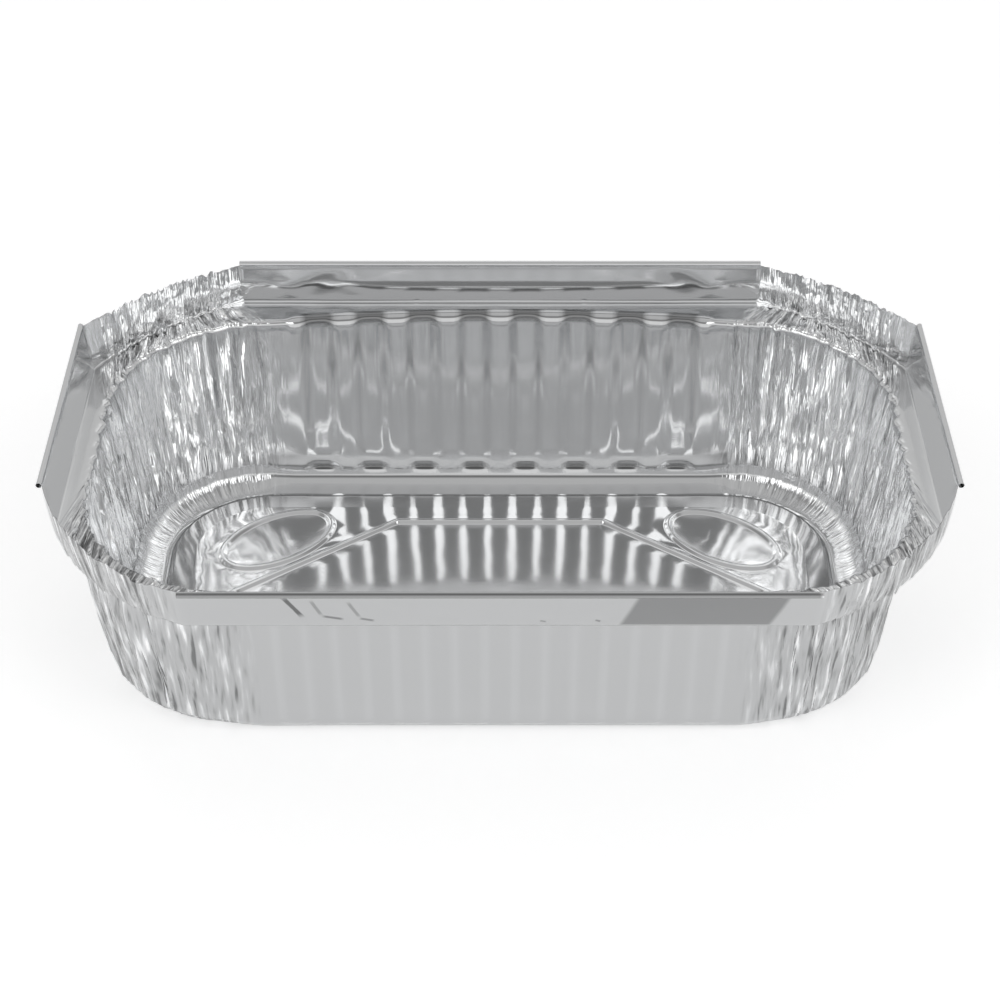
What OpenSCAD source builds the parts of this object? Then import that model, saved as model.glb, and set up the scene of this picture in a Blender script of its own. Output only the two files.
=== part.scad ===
// Oblong foil tray pressed from one sheet: base, foot, fluted and gathered walls, ledge,
// upright lid rim and rolled hem. Millimetres, +Z up, origin on the table under the middle
// of the whole tray, hems included.
// Side 0 is the front (-Y), 1 the right end, 2 the back and 3 the left end.

/* [Tray] */
// Length of the ledge, fold to fold
rim_length = 196; // [175:1:260]
// Width of the ledge, fold to fold
rim_width = 120; // [110:1:170]
// Height of the ledge above the table
ledge_height = 46.5; // [30:0.5:70]
// Gauge of the foil
foil = 0.1; // [0.08:0.01:0.2]

/* [Opening] */
// Width of the ledge at the middle of each side
ledge_width = 5.5; // [4:0.5:8]
// Corner radius of the opening
opening_radius = 34.8; // [28:0.2:40]
// How far the long walls belly out at the ledge
belly = 4; // [0:0.5:5]
// Radius of the bend from wall to ledge
ledge_bend = 0.9; // [0.5:0.1:1.5]

/* [Foot] */
// How far the walls lean in from ledge to table
draft = 4.2; // [2:0.1:8]
// Corner radius of the foot
foot_radius = 30.4; // [25:0.2:36]
// Radius of the bend from wall to base
foot_bend = 2.5; // [1.5:0.5:5]
// How far the left front corner of the wall is pushed outwards
corner_push = 5; // [0:0.1:6]

/* [Base] */
// From the foot's outside to the step up to the panel
panel_inset = 7; // [6:0.5:10]
// Width of the sloping border of the panel
panel_border = 6; // [3:0.5:8]
// Height of the step
panel_step = 0.9; // [0.4:0.1:1.5]
// Height of the flat panel above the table
panel_rise = 1.5; // [1.5:0.1:3]
// Height of the embossed ribs and loops
rib_height = 0.6; // [0.4:0.1:1]
// Width of the embossed ribs and loops
rib_width = 2.2; // [1.6:0.1:3]
// From the edge of the flat panel to the long ribs
rib_margin = 5.7; // [3:0.1:10]
// From the edge of the flat panel to the point where the slanted ribs meet
point_margin = 10; // [5:0.5:15]
// Length of a slanted rib, measured along the tray
slant_run = 39.2; // [25:0.2:45]
// Half the length of an embossed loop
loop_long = 15; // [10:0.5:16]
// Half the width of an embossed loop
loop_short = 8.6; // [5:0.2:9]
// From the end of the flat panel to the middle of a loop
loop_from_end = 19.6; // [18:0.2:24]
// From the long edge of the flat panel to the middle of a loop
loop_from_edge = 12.7; // [12:0.1:16]

/* [Flutes] */
// Spacing of the flutes in the long walls
flute_pitch = 13; // [11:0.5:16]
// Width of a flute at its mouth
flute_width = 9.8; // [7:0.2:10.6]
// Width of a flute at its floor
flute_floor_width = 3.2; // [2:0.2:4]
// Depth of a flute
flute_depth = 1.1; // [0.6:0.1:1.6]
// From the bend at the foot up to the start of the flutes
flute_start = 0.8; // [0.2:0.1:6]

/* [Gathers] */
// Spacing of the gathers in the corners and ends
gather_pitch = 5; // [4.5:0.5:8]
// Depth of the gathers at the ledge
gather_depth = 0.55; // [0.2:0.05:0.8]
// Depth of the gathers at the foot
gather_foot = 0.2; // [0.1:0.05:0.3]
// How rough the corners of the ledge and upright are
crumple = 0.5; // [0:0.05:0.8]

/* [Upright and hem] */
// Height of the upright above the ledge
upright = 12.7; // [8:0.1:20]
// Lean of the front upright outwards, in degrees
lean_front = 15; // [-10:1:30]
// Lean of the end uprights outwards, in degrees
lean_end = 5; // [-10:1:30]
// Lean of the back upright outwards, in degrees
lean_back = -11; // [-15:1:30]
// How far the front of the ledge is bent down
front_droop = 2; // [0:0.1:3]
// Length of the hem on the front
hem_front = 133; // [110:1:150]
// Length of the hem on the back
hem_back = 129; // [110:1:150]
// Length of the hem on the ends
hem_end = 61.6; // [50:0.2:70]
// How far the rim bulges outwards at the front corners
bulge_front = 5; // [0:0.5:6]
// How far the rim bulges outwards at the back corners
bulge_back = 3; // [0:0.5:6]
// How far the raw edge of the corners lies below the hem
raw_drop = 0.8; // [0:0.1:2]
// Outside radius of the rolled hem
hem_radius = 0.75; // [0.6:0.05:1.2]
// Turn of the hem, in degrees
hem_turn = 300; // [240:10:320]

/* [Hidden] */

open_half = [rim_length / 2 - ledge_width, rim_width / 2 - ledge_width - belly];
foot_half = open_half - [draft, draft];
fold_half = [rim_length, rim_width] / 2;
hem_half = [hem_front, hem_end, hem_back, hem_end] / 2;
lean = [lean_front, lean_end, lean_back, lean_end];
droop = [front_droop, 0, 0, 0];
bulge = [bulge_front, bulge_back, bulge_back, bulge_front];
straight = open_half - [opening_radius, opening_radius];
flat_inset = panel_inset + panel_border;
flat_half = foot_half - [flat_inset, flat_inset];
rib_point = flat_half.x - point_margin;
rib_corner = [rib_point - slant_run, flat_half.y - rib_margin];
loop_tilt = -atan2(rib_corner.y, slant_run);

flute_count = floor((2 * straight.x - flute_width) / flute_pitch);
corner_gathers = floor(opening_radius * PI / 2 / gather_pitch);
end_gathers = max(1, floor(2 * straight.y / gather_pitch));
hem_steps = 5;

// Height over which a flute comes to its full depth
flute_slope = 1.2;
// Width of the steep step at the edge of the panel
step_run = 0.6;
// Share of the bend's radius that is left halfway round it
half_bend = 1 - sqrt(0.5);
bend_top = foot_bend + foil;
// Height of the wall's middle row of points, as a share of the wall
middle_row = 0.7;
// Thickness of the slabs that the embossed loops are hulled from
thin = 0.01;
rib_sides = 8;
loop_sides = 28;
// The front leans out further than the back, so the whole tray is centred by half the difference
centring = [0, (reach(0) - reach(2)) / 2, 0];

// The pushed corner: its place around the tray, its reach to each side, the share of the push that
// is left at the foot, and how suddenly the push ends under the ledge
push_place = 3.7;
push_reach = 0.4;
push_at_foot = 0.42;
push_end = 8;

// How uneven the gathers are, the ledge's share of the crumpling and how fast it sets in
uneven = 0.25;
ledge_share = 0.6;
crumple_onset = 6;
random_seed = 7;

// One column for each vertical line of the wall: [side, in the corner, place along it from
// -1 to 1 (or 0 to 1 in the corner), goes on through rim and base, flute, gather]
function flute_columns(side) = [
    for (f = [0 : flute_count - 1])
        let (middle = (f - (flute_count - 1) / 2) * flute_pitch)
        for (k = [0 : 3])
            let (half = k == 0 || k == 3 ? flute_width / 2 : flute_floor_width / 2)
            [side, 0, (middle + (k < 2 ? -half : half)) / straight.x, k == 0, k == 1 || k == 2 ? 1 : 0, 0]
];
function end_columns(side) = [
    for (k = [1 : 2 * end_gathers - 1]) [side, 0, k / end_gathers - 1, true, 0, k % 2 == 0 ? 1 : -1]
];
function corner_columns(side) = [
    for (k = [0 : 2 * corner_gathers - 1])
        [side, 1, k / (2 * corner_gathers), true, 0, k % 2 == 0 ? 1 : -1]
];
columns = [
    for (side = [0 : 3])
        each concat(
            [[side, 0, -1, true, 0, 1]],
            is_long(side) ? flute_columns(side) : end_columns(side),
            corner_columns(side)
        )
];
count = len(columns);
kept = [for (i = [0 : count - 1]) if (columns[i][3]) i];
rank = [for (i = [0 : count - 1]) len([for (k = kept) if (k <= i) k]) - 1];
roughness = rands(-1, 1, 4 * count, random_seed);

function lerp(a, b, t) = a + (b - a) * t;
function is_long(side) = side % 2 == 0;
function swap(side, half) = is_long(side) ? half : [half.y, half.x];
function turned(side, p) =
    side == 0 ? p : side == 1 ? [-p.y, p.x] : side == 2 ? -p : [p.y, -p.x];

// How far a hemmed side stands out past its fold
function reach(side) =
    max(foil, upright * sin(lean[side]) + hem_radius * (1 + cos(lean[side])));

// Point of a rounded outline on column c, with the long sides bowed out
function outline(c, half, radius, bow) =
    let (h = swap(c[0], half), u = c[2])
    turned(c[0], c[1] == 1
        ? h - [radius, 2 * h.y - radius] + radius * [sin(90 * u), -cos(90 * u)]
        : [(h.x - radius) * u, -h.y - (is_long(c[0]) ? bow * (1 - u * u) : 0)]);

// Point of the fold between ledge and upright: hemmed sides joined by bulged corners
function fold_line(c) =
    let (h = swap(c[0], fold_half), from = [hem_half[c[0]], -h.y],
         to = [h.x, -hem_half[(c[0] + 1) % 4]], along = (to - from) / norm(to - from), u = c[2])
    turned(c[0], c[1] == 1
        ? lerp(from, to, u) + [along.y, -along.x] * bulge[c[0]] * 4 * u * (1 - u)
        : [from.x * u, -h.y]);

function outwards(c) = turned(c[0], c[1] == 1 ? [sin(90 * c[2]), -cos(90 * c[2])] : [0, -1]);
function shared(c, values) =
    c[1] == 1 ? lerp(values[c[0]], values[(c[0] + 1) % 4], c[2]) : values[c[0]];
// 1 in the middle of a corner, falling to 0 at its two ends and along the sides
function in_corner(c) = c[1] == 1 ? min(1, crumple_onset * min(c[2], 1 - c[2])) : 0;
// Place around the tray: the side's number at its start, and half a step more where its corner
// starts, so that once around is 4
function around(c) = c[0] + (c[1] == 1 ? 0.5 + c[2] / 2 : (c[2] + 1) / 4);
function pushed(c, share) =
    let (apart = (around(c) - push_place + 4) % 4, away = min(1, min(apart, 4 - apart) / push_reach))
    corner_push * pow(cos(90 * away), 2) * lerp(push_at_foot, 1, share) * (1 - pow(share, push_end));
function rough(i, row) = roughness[(4 * i + row) % len(roughness)];
function gather(i, height) =
    columns[i][5] * lerp(gather_foot, gather_depth, height / ledge_height) * (1 - uneven + uneven * rough(i, 0));
// A direction square to the sheet: 0 degrees is straight out, -90 is straight down
function square_to(c, angle) = let (n = outwards(c) * cos(angle)) [n.x, n.y, sin(angle)];
function point(xy, out, c, z) = let (n = outwards(c) * out) [xy.x + n.x, xy.y + n.y, z];

// Each sheet point below is [the point on the food side, the way through the sheet]
// wave is 1 where the gathers and the pushed corner reach the base, and 0 on the panel
function base_point(i, inset, z, wave) =
    let (c = columns[i], half = foot_half - [inset, inset])
    [point(outline(c, half, foot_radius - inset, 0), wave * (c[5] * gather_foot + pushed(c, 0)), c, z), [0, 0, -1]];
function wall_point(i, z, recess, slope, push) =
    let (c = columns[i], t = z / ledge_height, half = lerp(foot_half, open_half, t))
    [point(outline(c, half, lerp(foot_radius, opening_radius, t), belly * t),
           push + gather(i, z) + pushed(c, t) + recess * flute_depth * c[4], c, z), square_to(c, slope)];
function ledge_point(i) =
    let (c = columns[i], inner = wall_point(i, ledge_height, 1, 0, ledge_bend))
    [inner[0] + [0, 0, crumple * ledge_share * c[5] * in_corner(c)], sqrt(2) * square_to(c, -45)];
function fold_point(i) =
    let (c = columns[i], z = ledge_height - shared(c, droop) + crumple * ledge_share * rough(i, 1) * in_corner(c))
    [point(fold_line(c), 0, c, z), sqrt(2) * square_to(c, -45)];
function upright_point(i, share) =
    let (c = columns[i], tilt = shared(c, lean), height = upright - raw_drop * in_corner(c),
         push = crumple * rough(i, share < 1 ? 2 : 3) * in_corner(c),
         up = square_to(c, 90 - tilt) * height * share, foot = fold_point(i)[0])
    [foot + up + square_to(c, -tilt) * push, square_to(c, -tilt)];
function hem_point(i, step) =
    let (c = columns[i], tilt = shared(c, lean), top = upright_point(i, 1)[0], turn = hem_turn * step / hem_steps,
         way = square_to(c, -tilt) * cos(turn) - square_to(c, 90 - tilt) * sin(turn))
    [top + hem_radius * (square_to(c, -tilt) - way), way];

// Rows of the sheet from the base panel to the top of the upright
rows = [
    [for (i = kept) base_point(i, flat_inset, panel_rise + foil, 0)],
    [for (i = kept) base_point(i, panel_inset, panel_step + foil, 0)],
    [for (i = kept) base_point(i, panel_inset - step_run, foil, 0)],
    [for (i = kept) base_point(i, foot_bend, foil, 1)],
    [for (i = kept) base_point(i, foot_bend * half_bend, foil + foot_bend * half_bend, 1)],
    [for (i = [0 : count - 1]) wall_point(i, bend_top, 0, 0, 0)],
    [for (i = [0 : count - 1]) wall_point(i, bend_top + flute_start, 0, 0, 0)],
    [for (i = [0 : count - 1]) wall_point(i, bend_top + flute_start + flute_slope, 1, 0, 0)],
    [for (i = [0 : count - 1]) wall_point(i, ledge_height * middle_row, 1, 0, 0)],
    [for (i = [0 : count - 1]) wall_point(i, ledge_height - ledge_bend, 1, -20, 0)],
    [for (i = [0 : count - 1]) ledge_point(i)],
    [for (i = kept) fold_point(i)],
    [for (i = kept) upright_point(i, 0.5)],
    [for (i = kept) upright_point(i, 1)]
];
top_row = len(rows) - 1;
row_start = [for (r = [0 : top_row + 1]) 1 + len([for (q = [0 : r - 1]) each rows[q]])];
hem_columns = [for (side = [0 : 3]) [
    for (i = kept) if (columns[i][0] == side && (columns[i][1] == 0 || columns[i][2] == 0)) i
]];
hem_rows = [for (side = [0 : 3]) for (i = hem_columns[side]) for (s = [1 : hem_steps]) hem_point(i, s)];
hem_start = [for (side = [0 : 3])
    row_start[top_row + 1] + hem_steps * len([for (q = [0 : side - 1]) each hem_columns[q]])];

sheet = concat([[[0, 0, panel_rise + foil], [0, 0, -1]]], [for (row = rows) each row], hem_rows);
skin_size = len(sheet);

// Number of the vertex where a row crosses column i, or the last kept column before it
function vertex(row, i) =
    let (column = i % count)
    row_start[row] + (len(rows[row]) == count ? column : rank[column]);
function hem_vertex(side, place, step) =
    step == 0 ? vertex(top_row, hem_columns[side][place])
              : hem_start[side] + place * hem_steps + step - 1;

base_faces = [for (i = [0 : count - 1])
    if (vertex(0, i) != vertex(0, i + 1)) [0, vertex(0, i + 1), vertex(0, i)]];
strip_faces = [for (r = [0 : top_row - 1]) for (i = [0 : count - 1])
    let (a = vertex(r, i), b = vertex(r, i + 1), c = vertex(r + 1, i), d = vertex(r + 1, i + 1))
    each concat(a != b ? [[a, b, c]] : [], c != d ? [[c, b, d]] : [])];
hem_faces = [for (side = [0 : 3]) for (p = [0 : len(hem_columns[side]) - 2]) for (s = [0 : hem_steps - 1])
    let (a = hem_vertex(side, p, s), b = hem_vertex(side, p + 1, s),
         c = hem_vertex(side, p, s + 1), d = hem_vertex(side, p + 1, s + 1))
    each [[a, b, c], [c, b, d]]];
food_side = concat(base_faces, strip_faces, hem_faces);
table_side = [for (f = food_side) [f[0], f[2], f[1]] + skin_size * [1, 1, 1]];

// Edges of the sheet: the raw corners, the end of each roll and the free edge inside it
function rim_edge(a, b) = [[a, b, a + skin_size], [a + skin_size, b, b + skin_size]];
raw_edges = [for (i = kept)
    let (c = columns[i]) if (c[1] == 1) each rim_edge(vertex(top_row, i), vertex(top_row, i + 1))];
hem_edges = [for (side = [0 : 3]) let (last = len(hem_columns[side]) - 1) each concat(
    [for (p = [0 : last - 1])
        each rim_edge(hem_vertex(side, p, hem_steps), hem_vertex(side, p + 1, hem_steps))],
    [for (s = [0 : hem_steps - 1]) each rim_edge(hem_vertex(side, 0, s), hem_vertex(side, 0, s + 1))],
    [for (s = [0 : hem_steps - 1]) each rim_edge(hem_vertex(side, last, s + 1), hem_vertex(side, last, s))]
)];

module pressed_sheet() {
    polyhedron(
        points = concat([for (p = sheet) p[0]], [for (p = sheet) p[0] + foil * p[1]]),
        faces = concat(food_side, table_side, raw_edges, hem_edges),
        convexity = 10
    );
}

module rib(p, q) {
    hull()
        for (end = [p, q])
            translate([end.x, end.y, -foil / 2])
                cylinder(h = rib_height + foil / 2, d1 = rib_width, d2 = rib_width / 2, $fn = rib_sides);
}

// Six ribs that draw a long hexagon on the panel
module rib_frame() {
    for (m = [-1, 1]) {
        rib([-rib_corner.x, m * rib_corner.y], [rib_corner.x, m * rib_corner.y]);
        for (n = [-1, 1]) rib([n * rib_corner.x, m * rib_corner.y], [n * rib_point, 0]);
    }
}

module loop_slab(grow, z) {
    translate([0, 0, z])
        linear_extrude(thin)
            scale([loop_long + grow, loop_short + grow])
                circle(1, $fn = loop_sides);
}

module loop() {
    translate([flat_half.x - loop_from_end, flat_half.y - loop_from_edge, 0])
        rotate(loop_tilt)
            difference() {
                hull() {
                    loop_slab(rib_width / 2, -foil / 2);
                    loop_slab(rib_width / 4, rib_height - thin);
                }
                hull() {
                    loop_slab(-rib_width / 2, -foil / 2 - thin);
                    loop_slab(-rib_width / 4, rib_height);
                }
            }
}

module embossing() {
    rib_frame();
    for (m = [0, 1]) for (n = [0, 1]) mirror([m, 0, 0]) mirror([0, n, 0]) loop();
}

module tray() {
    color([0.78, 0.79, 0.8])
        translate(centring)
            difference() {
                union() {
                    pressed_sheet();
                    translate([0, 0, panel_rise + foil]) embossing();
                }
                translate([0, 0, panel_rise]) embossing();
            }
}

tray();
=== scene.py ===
"""Looks of an oblong aluminium foil tray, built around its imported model.

The tray is one sheet of foil. A flat grid of vertices is the blank, which is pressed into the tray by
moving every vertex to its place. The flat panel of the base is filled in with its embossed ribs and
loops, and the whole sheet then gets the gauge of the foil. Lengths are millimetres until a mesh or a
lamp is made, and metres from there on.
"""

from __future__ import annotations

import logging
import math
from collections.abc import Sequence
from dataclasses import dataclass, field
from enum import Enum, IntEnum

import bmesh
import bpy
import numpy as np
from mathutils import Matrix, Vector, geometry, noise

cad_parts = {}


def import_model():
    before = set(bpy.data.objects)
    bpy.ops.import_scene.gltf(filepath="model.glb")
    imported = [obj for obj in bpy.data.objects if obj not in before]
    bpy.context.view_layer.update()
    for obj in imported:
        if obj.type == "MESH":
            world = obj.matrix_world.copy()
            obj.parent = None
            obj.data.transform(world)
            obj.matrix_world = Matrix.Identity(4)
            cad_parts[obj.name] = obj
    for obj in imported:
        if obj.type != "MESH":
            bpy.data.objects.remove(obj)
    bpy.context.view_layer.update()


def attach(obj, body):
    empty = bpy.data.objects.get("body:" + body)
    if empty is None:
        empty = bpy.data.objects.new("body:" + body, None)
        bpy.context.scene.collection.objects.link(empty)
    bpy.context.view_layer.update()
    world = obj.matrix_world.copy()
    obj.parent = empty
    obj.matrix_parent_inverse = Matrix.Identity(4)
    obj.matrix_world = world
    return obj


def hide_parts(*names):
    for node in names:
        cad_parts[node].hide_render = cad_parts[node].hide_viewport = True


LOG = logging.getLogger("foil_tray")
Amount = np.ndarray | float
Feed = bpy.types.NodeSocket | float | tuple[float, ...]
WHITE = (1.0, 1.0, 1.0, 1.0)
MM = 0.001
BLANK_MAP = "blank"
GATHER_MAP = "gather"
CRUMPLE_MASK = "crumple"
# Weight of the streaks: their bumps, and the painted highlights and shade along them.
GATHER_MASK = "gathered"
# Per-vertex weight of painted shading: painted shade in pockets, lobes, the hem's roll and along bends, and
# painted light where it is negative.
PAINTED_SHADING_MASK = "painted_shading"
DARKEST = 0.4
BRIGHTEST = 0.97
MIDDLE = 0.5
FLANK_PEAK = 4.0


class Side(IntEnum):
    """The four sides of the tray, in the order of its columns."""

    FRONT = 0
    RIGHT = 1
    BACK = 2
    LEFT = 3


class Face(Enum):
    """The two faces of rolled foil."""

    BRIGHT = "foil_bright"
    MATTE = "foil_matte"


def lerp(a: Amount, b: Amount, t: Amount) -> Amount:
    """Straight mix of a and b."""
    return a + (b - a) * t


def smooth(t: Amount) -> Amount:
    """Eased ramp from 0 to 1, held at both ends."""
    t = np.clip(t, 0.0, 1.0)
    return t * t * (3.0 - 2.0 * t)


@dataclass(frozen=True)
class TraySizes:
    """Driving sizes of the tray, in millimetres and degrees."""

    rim_length: float = 196.0
    rim_width: float = 120.0
    ledge_height: float = 46.5
    foil: float = 0.1
    ledge_width: float = 5.5
    opening_radius: float = 34.8
    belly: float = 4.0
    ledge_bend: float = 0.9
    scoop: float = 1.1
    draft: float = 4.2
    foot_radius: float = 30.4
    foot_bend: float = 2.5
    foot_reach: float = 6.0
    foot_dish: float = 0.3
    foot_ease: float = 2.0
    corner_push: float = 5.0
    panel_inset: float = 7.0
    panel_border: float = 6.0
    panel_step: float = 0.9
    panel_rise: float = 1.5
    step_run: float = 0.6
    flute_pitch: float = 13.0
    flute_width: float = 9.8
    flute_floor_width: float = 3.2
    flute_depth: float = 0.7
    flute_start: float = 0.8
    flute_rises: tuple[float, ...] = (0.0, 0.2, 0.4, 0.6, 0.85, 1.3, 2.0, 3.0, 4.5, 8.0)
    flute_recess: tuple[float, ...] = (0.0, 0.2, 0.45, 0.7, 0.85, 0.8, 0.7, 0.6, 0.6, 1.0)
    flute_count: int = 8
    upright: float = 12.7
    lean: tuple[float, ...] = (15.0, 5.0, -11.0, 5.0)
    knee: tuple[float, ...] = (0.2, 0.2, -1.05, 0.2)
    knee_share: float = 0.55
    fold_bend: float = 0.7
    droop: tuple[float, ...] = (2.0, 0.0, 0.0, 0.0)
    hem_length: tuple[float, ...] = (133.0, 61.6, 129.0, 61.6)
    bulge: tuple[float, ...] = (5.0, 3.0, 3.0, 5.0)
    raw_drop: float = 0.8
    hem_radius: float = 0.72
    hem_turn: float = 300.0
    push_place: float = 3.7
    push_reach: float = 0.4
    push_at_foot: float = 0.42
    push_end: float = 8.0
    solid_hem_radius: float = 0.75
    corner_ease: float = 6.0
    lip_round: float = 0.18
    edge_round: float = 0.5
    border_edge: float = 0.9
    foot_angles: tuple[float, ...] = (8.0, 24.0, 40.0, 56.0, 72.0, 90.0)
    ledge_angles: tuple[float, ...] = (30.0, 60.0)
    fold_steps: tuple[float, ...] = (0.0, 0.35, 0.65, 1.0)
    knee_soft: float = 0.12
    edge_drop: float = 0.12
    border_lift: float = 0.15
    border_crown: float = 0.03
    step_soft: float = 0.12

    @property
    def open_half(self) -> np.ndarray:
        """Half the length and width of the opening at the ledge."""
        half = np.array([self.rim_length, self.rim_width]) / 2.0 - self.ledge_width
        return half - np.array([0.0, self.belly])

    @property
    def foot_half(self) -> np.ndarray:
        """Half the length and width of the foot."""
        return self.open_half - self.draft

    @property
    def fold_half(self) -> np.ndarray:
        """Half the length and width of the fold."""
        return np.array([self.rim_length, self.rim_width]) / 2.0

    @property
    def straight(self) -> np.ndarray:
        """Half the straight stretch of a long side and of an end."""
        return self.open_half - self.opening_radius

    @property
    def flat_inset(self) -> float:
        """From the outside of the foot to the flat panel."""
        return self.panel_inset + self.panel_border

    @property
    def flat_half(self) -> np.ndarray:
        """Half the length and width of the flat panel."""
        return self.foot_half - self.flat_inset

    @property
    def centring(self) -> float:
        """How far the tray is moved back so that its middle is at the origin."""
        return (self._reach(Side.FRONT) - self._reach(Side.BACK)) / 2.0

    def _reach(self, side: Side) -> float:
        """How far the rolled hem of the solid tray stands out past a side's fold."""
        lean = math.radians(self.lean[side])
        rolled = self.upright * math.sin(lean) + self.solid_hem_radius * (1.0 + math.cos(lean))
        return max(self.foil, rolled)


class Columns:
    """The upright lines of the sheet, counted round the tray from the front's left end."""

    def __init__(self, sizes: TraySizes, long_steps: int, corner_steps: int, end_steps: int) -> None:
        """Lays out the columns.

        Args:
            sizes: The tray's sizes.
            long_steps: Columns in the straight stretch of a long side.
            corner_steps: Columns in a corner.
            end_steps: Columns in the straight stretch of an end.
        """
        self.sizes = sizes
        side, corner, place = [], [], []
        for s in Side:
            steps = end_steps if s in (Side.RIGHT, Side.LEFT) else long_steps
            side += [s] * (steps + corner_steps)
            corner += [False] * steps + [True] * corner_steps
            place += list(np.linspace(-1.0, 1.0, steps, endpoint=False))
            place += list(np.linspace(0.0, 1.0, corner_steps, endpoint=False))
        self.side = np.array(side)
        self.corner = np.array(corner)
        self.place = np.array(place)
        self.count = len(side)
        self.is_long = self.side % 2 == 0
        angle = np.radians(90.0 * self.side)
        self.turn_cos, self.turn_sin = np.round(np.cos(angle)), np.round(np.sin(angle))
        sweep = np.radians(90.0 * self.place)
        ahead = np.where(self.corner[:, None], np.c_[np.sin(sweep), -np.cos(sweep)], [[0.0, -1.0]])
        self.outwards = self.turned(ahead)
        self.around = self.side + np.where(self.corner, 0.5 + self.place / 2.0, (self.place + 1.0) / 4.0)
        edge = self.outline(sizes.open_half, sizes.opening_radius, sizes.belly)
        step = np.linalg.norm(np.roll(edge, -1, axis=0) - edge, axis=1)
        self.run = np.cumsum(step) - step
        self.girth = float(step.sum())
        from_end = np.minimum(self.place, 1.0 - self.place)
        self.in_corner = np.where(self.corner, np.minimum(1.0, sizes.corner_ease * from_end), 0.0)

    def turned(self, p: np.ndarray) -> np.ndarray:
        """Turns points given for the front onto each column's own side."""
        return np.c_[
            self.turn_cos * p[:, 0] - self.turn_sin * p[:, 1],
            self.turn_sin * p[:, 0] + self.turn_cos * p[:, 1],
        ]

    def outline(self, half: np.ndarray, radius: Amount, bow: Amount) -> np.ndarray:
        """Points of a rounded outline whose long sides bow out.

        Args:
            half: Half its length and width, for all columns or for each.
            radius: Radius of its corners, for all columns or for each.
            bow: How far its long sides bow out in the middle, for all columns or for each.

        Returns:
            One point for each column.
        """
        half = np.broadcast_to(half, (self.count, 2))
        radius = np.broadcast_to(radius, (self.count,))
        h = np.where(self.is_long[:, None], half, half[:, ::-1])
        sweep = np.radians(90.0 * self.place)
        bend = h - np.c_[radius, 2.0 * h[:, 1] - radius]
        bend = bend + radius[:, None] * np.c_[np.sin(sweep), -np.cos(sweep)]
        bow_out = np.where(self.is_long, bow * (1.0 - self.place**2), 0.0)
        line = np.c_[(h[:, 0] - radius) * self.place, -h[:, 1] - bow_out]
        return self.turned(np.where(self.corner[:, None], bend, line))

    def fold_line(self) -> np.ndarray:
        """Points of the fold between ledge and upright: hemmed sides joined by bulged corners.

        Returns:
            One point in plan for each column.
        """
        sizes = self.sizes
        h = np.where(self.is_long[:, None], sizes.fold_half, sizes.fold_half[::-1])
        hem = np.array(sizes.hem_length)[self.side] / 2.0
        next_hem = np.array(sizes.hem_length)[(self.side + 1) % 4] / 2.0
        start = np.c_[hem, -h[:, 1]]
        end = np.c_[h[:, 0], -next_hem]
        along = (end - start) / np.linalg.norm(end - start, axis=1)[:, None]
        u = self.place[:, None]
        bulge = np.array(sizes.bulge)[self.side][:, None]
        bend = lerp(start, end, u) + np.c_[along[:, 1], -along[:, 0]] * bulge * 4.0 * u * (1.0 - u)
        line = np.c_[hem * self.place, -h[:, 1]]
        return self.turned(np.where(self.corner[:, None], bend, line))

    def shared(self, values: Sequence[float]) -> np.ndarray:
        """A value given for each side, mixed across the corners."""
        v = np.array(values)
        here, after = v[self.side], v[(self.side + 1) % 4]
        return np.where(self.corner, lerp(here, after, self.place), here)

    def pushed(self, share: Amount) -> np.ndarray:
        """How far the pushed corner stands out at a share of the wall's height."""
        sizes = self.sizes
        apart = (self.around - sizes.push_place) % 4.0
        away = np.minimum(1.0, np.minimum(apart, 4.0 - apart) / sizes.push_reach)
        hill = np.cos(np.radians(90.0 * away)) ** 2
        return sizes.corner_push * hill * lerp(sizes.push_at_foot, 1.0, share) * (1.0 - share**sizes.push_end)

    def fluted(self) -> np.ndarray:
        """1 on the floor of a flute, 0 between flutes.

        Returns:
            One weight for each column.
        """
        sizes = self.sizes
        x = self.place * sizes.straight[0]
        half = sizes.flute_count * sizes.flute_pitch / 2.0
        off = np.abs((x + half) % sizes.flute_pitch - sizes.flute_pitch / 2.0)
        flank = (sizes.flute_width - sizes.flute_floor_width) / 2.0
        depth = smooth((sizes.flute_width / 2.0 - off) / flank)
        return np.where(self.is_long & ~self.corner & (np.abs(x) < half), depth, 0.0)

    def between_flutes(self) -> np.ndarray:
        """1 midway between two flutes, 0 on their floors and away from the flutes."""
        half = self.sizes.flute_count * self.sizes.flute_pitch / 2.0
        near = self.is_long & ~self.corner & (np.abs(self.place) * self.sizes.straight[0] < half)
        return np.where(near, 1.0 - self.fluted(), 0.0)

    def square_to(self, degrees: Amount) -> np.ndarray:
        """Directions square to the sheet: 0 is straight out and 90 straight up."""
        a = np.radians(np.broadcast_to(degrees, (self.count,)))
        return np.c_[self.outwards * np.cos(a)[:, None], np.sin(a)]


@dataclass(frozen=True)
class Grain:
    """One layer of creases: the size of its cells along and down the sheet, and its depth."""

    along: float
    down: float
    depth: float


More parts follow.
